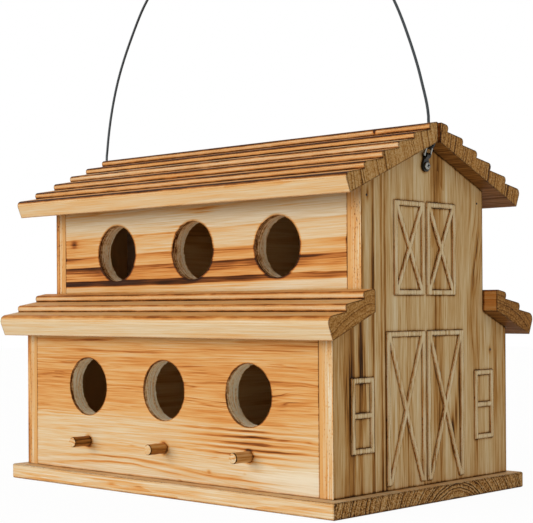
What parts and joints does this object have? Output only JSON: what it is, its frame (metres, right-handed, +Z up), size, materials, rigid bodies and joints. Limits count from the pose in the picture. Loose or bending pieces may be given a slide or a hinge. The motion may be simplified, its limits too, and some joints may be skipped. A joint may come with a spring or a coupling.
{
  "type": "multi-chamber birdhouse",
  "caption": "Barn-shaped wooden birdhouse with two storeys of nesting chambers on each front, perches, stepped board roofs and a stiff hanging wire.",
  "frame": {"origin": "middle of the base board's underside, on the surface that the house stands on", "axes": "+X along the ridge, +Y from the front to the back, +Z up"},
  "size_m": [0.3574, 0.236, 0.4463],
  "materials": {
    "pale_burnt_wood": "lightly burnt, satin",
    "gable_wood": "burnt in vertical streaks, satin",
    "front_wood": "lightly burnt, satin",
    "inner_wood": "dark and rough",
    "roof_wood": "burnt along the course edges, satin",
    "perch_wood": "charred dowel with pale ends",
    "black_steel": "blackened, glossy",
    "wire_steel": "dark grey, smooth"
  },
  "bodies": {
    "house": {"base_board": "pale_burnt_wood", "gable_panel_right": "gable_wood", "gable_panel_left": "gable_wood", "front_lower_wall": "front_wood", "back_lower_wall": "front_wood", "front_upper_wall": "front_wood", "back_upper_wall": "front_wood", "upper_floor": "inner_wood", "lower_spine": "inner_wood", "upper_spine": "inner_wood", "lower_divider_1": "inner_wood", "lower_divider_2": "inner_wood", "upper_divider_1": "inner_wood", "upper_divider_2": "inner_wood", "upper_roof_front": "roof_wood", "upper_roof_back": "roof_wood", "lower_roof_front": "roof_wood", "lower_roof_back": "roof_wood", "perch_front_1": "perch_wood", "perch_front_2": "perch_wood", "perch_front_3": "perch_wood", "perch_back_1": "perch_wood", "perch_back_2": "perch_wood", "perch_back_3": "perch_wood", "strap_hanger_right": "black_steel", "strap_hanger_left": "black_steel", "strap_screw_right": "black_steel", "strap_screw_left": "black_steel", "hanging_wire": "wire_steel"},
    "ring_right": {"d_ring_right": "black_steel"},
    "ring_left": {"d_ring_left": "black_steel"}
  },
  "joints": [
    {"name": "right_ring_tilt", "type": "hinge", "parent": "house", "child": "ring_right", "pos_m": [0.1645, 0, 0.24214], "axis": [0, 1, 0], "range_deg": [-7, 2.5]},
    {"name": "left_ring_tilt", "type": "hinge", "parent": "house", "child": "ring_left", "pos_m": [-0.1645, 0, 0.24214], "axis": [0, -1, 0], "range_deg": [-10, 2]}
  ]
}
